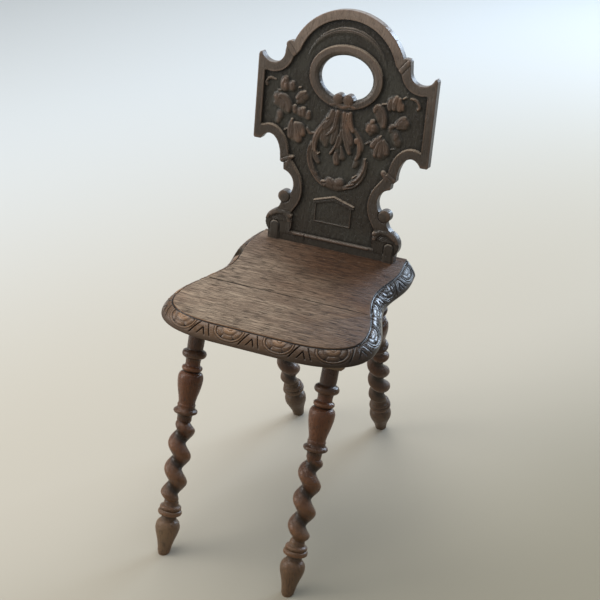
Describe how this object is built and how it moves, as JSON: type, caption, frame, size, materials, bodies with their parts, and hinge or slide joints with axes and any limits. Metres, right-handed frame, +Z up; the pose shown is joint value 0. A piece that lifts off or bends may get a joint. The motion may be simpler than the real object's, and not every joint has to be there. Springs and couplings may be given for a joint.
{
  "type": "hall chair",
  "caption": "Wooden hall chair with a carved plank back pierced by an oval hand hole, a waisted plank seat with a carved sloping rim, and raked barley-twist legs.",
  "frame": {"origin": "on the floor, under the middle of the overall width and depth", "axes": "+Z up; the chair faces -Y; +X is to the right seen from the front"},
  "size_m": [0.401, 0.5702, 0.898],
  "materials": {
    "seat_oak": "worn brown oak, satin with rubbed bare patches",
    "back_oak": "dark stained carved oak under old shellac, satin",
    "leg_oak": "reddish brown turned oak under old shellac, satin",
    "hidden_oak": "unfinished oak, matt"
  },
  "bodies": {
    "root": {"seat_front_board": "seat_oak", "seat_rear_board": "seat_oak", "seat_dowels": "hidden_oak", "batten_left": "hidden_oak", "batten_right": "hidden_oak", "batten_pegs": "hidden_oak", "leg_front_left": "leg_oak", "leg_front_right": "leg_oak", "leg_rear_left": "leg_oak", "leg_rear_right": "leg_oak", "leg_wedges": "hidden_oak", "back_board": "back_oak", "back_keys": "hidden_oak"}
  },
  "joints": []
}
